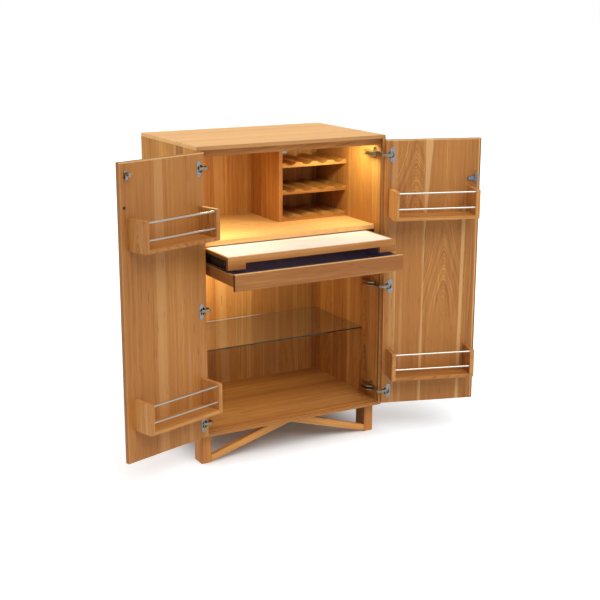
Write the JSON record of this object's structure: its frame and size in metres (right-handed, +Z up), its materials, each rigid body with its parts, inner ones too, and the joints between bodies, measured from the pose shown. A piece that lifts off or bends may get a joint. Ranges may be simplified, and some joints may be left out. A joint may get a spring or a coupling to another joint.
{
  "type": "bar armoire",
  "caption": "Free-standing bar armoire on a braced base, with two racked doors, stemware and bottle bays, a sliding board, a drawer and a glass shelf.",
  "frame": {"origin": "on the floor, under the middle of the overall box with both doors open", "axes": "+X across the case, to the right as seen from the front; +Y back into the case; +Z up"},
  "size_m": [1.7224, 0.8492, 1.388],
  "materials": {
    "cherry": "satin lacquer on glued-up cherry",
    "pale_cherry": "satin lacquer on paler cherry",
    "maple": "oiled maple",
    "black_steel": "black coated steel and black lacquered wood",
    "nickel": "bright nickel plate",
    "satin_steel": "satin brushed steel",
    "glass": "clear float glass with polished edges"
  },
  "bodies": {
    "case": {"top_panel": "pale_cherry", "bottom_panel": "cherry", "back_panel": "cherry", "header_rail": "cherry", "left_side_panel": "cherry", "right_side_panel": "cherry", "front_leg_frame": "cherry", "rear_leg_frame": "cherry", "upper_shelf": "pale_cherry", "bay_divider": "cherry", "lower_wine_shelf": "cherry", "middle_wine_shelf": "cherry", "upper_wine_shelf": "cherry", "stemware_rack": "cherry", "glass_shelf": "glass", "left_runner_spacer": "black_steel", "right_runner_spacer": "black_steel", "catch_strike": "nickel", "left_top_hinge_arm": "nickel", "left_middle_hinge_arm": "nickel", "left_bottom_hinge_arm": "nickel", "right_top_hinge_arm": "nickel", "right_middle_hinge_arm": "nickel", "right_bottom_hinge_arm": "nickel"},
    "left_door": {"left_door": "cherry", "left_upper_rack": "cherry", "left_upper_rack_top_rod": "satin_steel", "left_upper_rack_low_rod": "satin_steel", "left_lower_rack": "cherry", "left_lower_rack_top_rod": "satin_steel", "left_lower_rack_low_rod": "satin_steel", "left_top_hinge_cup": "nickel", "left_middle_hinge_cup": "nickel", "left_bottom_hinge_cup": "nickel", "elbow_catch_base": "nickel"},
    "right_door": {"right_door": "cherry", "right_upper_rack": "cherry", "right_upper_rack_top_rod": "satin_steel", "right_upper_rack_low_rod": "satin_steel", "right_lower_rack": "cherry", "right_lower_rack_top_rod": "satin_steel", "right_lower_rack_low_rod": "satin_steel", "right_top_hinge_cup": "nickel", "right_middle_hinge_cup": "nickel", "right_bottom_hinge_cup": "nickel", "lock_body": "nickel"},
    "left_top_link": {"left_top_hinge_link": "nickel"},
    "left_middle_link": {"left_middle_hinge_link": "nickel"},
    "left_bottom_link": {"left_bottom_hinge_link": "nickel"},
    "right_top_link": {"right_top_hinge_link": "nickel"},
    "right_middle_link": {"right_middle_hinge_link": "nickel"},
    "right_bottom_link": {"right_bottom_hinge_link": "nickel"},
    "elbow_catch": {"elbow_catch_lever": "nickel"},
    "lock_cam": {"lock_cam": "nickel"},
    "cutting_board": {"board_frame": "cherry", "maple_board": "maple", "left_board_slide": "black_steel", "right_board_slide": "black_steel"},
    "drawer": {"drawer_front": "cherry", "drawer_box": "pale_cherry"}
  },
  "joints": [
    {"name": "left_door_hinge", "type": "hinge", "parent": "case", "child": "left_door", "pos_m": [-0.443, -0.17337, 0.7625], "axis": [0, 0, 1], "range_deg": [0, 162]},
    {"name": "right_door_hinge", "type": "hinge", "parent": "case", "child": "right_door", "pos_m": [0.443, -0.17337, 0.7625], "axis": [0, 0, 1], "range_deg": [-162, 0]},
    {"name": "drawer_slide", "type": "slide", "parent": "case", "child": "drawer", "axis": [0, 1, 0], "range_m": [0, 0.3591]},
    {"name": "cutting_board_slide", "type": "slide", "parent": "case", "child": "cutting_board", "axis": [0, 1, 0], "range_m": [0, 0.2961]},
    {"name": "left_top_link_pivot", "type": "hinge", "parent": "left_door", "child": "left_top_link", "pos_m": [-0.46102, -0.20319, 1.304], "axis": [0, 0, 1], "range_deg": [-127.2, 0]},
    {"name": "left_middle_link_pivot", "type": "hinge", "parent": "left_door", "child": "left_middle_link", "pos_m": [-0.46102, -0.20319, 0.7105], "axis": [0, 0, 1], "range_deg": [-127.2, 0]},
    {"name": "left_bottom_link_pivot", "type": "hinge", "parent": "left_door", "child": "left_bottom_link", "pos_m": [-0.46102, -0.20319, 0.214], "axis": [0, 0, 1], "range_deg": [-127.2, 0]},
    {"name": "right_top_link_pivot", "type": "hinge", "parent": "right_door", "child": "right_top_link", "pos_m": [0.46102, -0.20319, 1.304], "axis": [0, 0, 1], "range_deg": [0, 127.2]},
    {"name": "right_middle_link_pivot", "type": "hinge", "parent": "right_door", "child": "right_middle_link", "pos_m": [0.46102, -0.20319, 0.7105], "axis": [0, 0, 1], "range_deg": [0, 127.2]},
    {"name": "right_bottom_link_pivot", "type": "hinge", "parent": "right_door", "child": "right_bottom_link", "pos_m": [0.46102, -0.20319, 0.214], "axis": [0, 0, 1], "range_deg": [0, 127.2]},
    {"name": "elbow_catch_turn", "type": "hinge", "parent": "left_door", "child": "elbow_catch", "pos_m": [-0.82464, -0.33207, 1.322], "axis": [-0.9511, -0.309, 0], "range_deg": [0, 20]},
    {"name": "lock_cam_turn", "type": "hinge", "parent": "right_door", "child": "lock_cam", "pos_m": [0.83175, -0.33606, 1.192], "axis": [0.309, 0.9511, 0], "range_deg": [0, 90]}
  ],
  "couplings": [
    {"joint": "right_door_hinge", "follows": "left_door_hinge", "ratio": -1},
    {"joint": "drawer_slide", "follows": "left_door_hinge", "m_per_rad": 0.12697},
    {"joint": "cutting_board_slide", "follows": "left_door_hinge", "m_per_rad": 0.10469},
    {"joint": "left_top_link_pivot", "follows": "left_door_hinge", "ratio": -0.78457},
    {"joint": "left_middle_link_pivot", "follows": "left_door_hinge", "ratio": -0.78457},
    {"joint": "left_bottom_link_pivot", "follows": "left_door_hinge", "ratio": -0.78457},
    {"joint": "right_top_link_pivot", "follows": "left_door_hinge", "ratio": 0.78457},
    {"joint": "right_middle_link_pivot", "follows": "left_door_hinge", "ratio": 0.78457},
    {"joint": "right_bottom_link_pivot", "follows": "left_door_hinge", "ratio": 0.78457}
  ]
}
